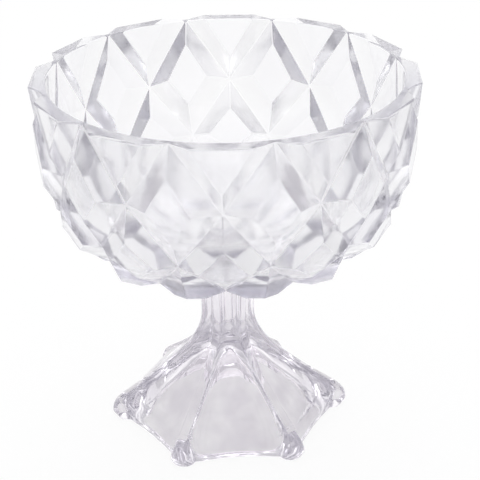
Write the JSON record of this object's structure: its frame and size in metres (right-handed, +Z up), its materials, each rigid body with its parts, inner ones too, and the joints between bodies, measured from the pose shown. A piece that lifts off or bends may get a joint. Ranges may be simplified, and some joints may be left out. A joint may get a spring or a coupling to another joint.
{
  "type": "footed fruit bowl",
  "caption": "Deep round fruit bowl in clear pressed glass, faceted with raised diamonds, bonded on a ribbed stem that flares into a hollow foot with rounded toes.",
  "frame": {"origin": "on the table, on the axis of the bowl, under its middle", "axes": "+Z up along the axis of the bowl, front towards -Y; the foot is bonded 1.3 mm off that axis and turned 5.7 degrees"},
  "size_m": [0.2038, 0.2038, 0.2052],
  "materials": {
    "bowl_glass": "clear, fire-polished",
    "foot_glass": "clear, fire-polished",
    "clear_adhesive": "clear, cured"
  },
  "bodies": {
    "root": {"pedestal_foot": "foot_glass", "bond_film": "clear_adhesive", "bowl": "bowl_glass"}
  },
  "joints": []
}
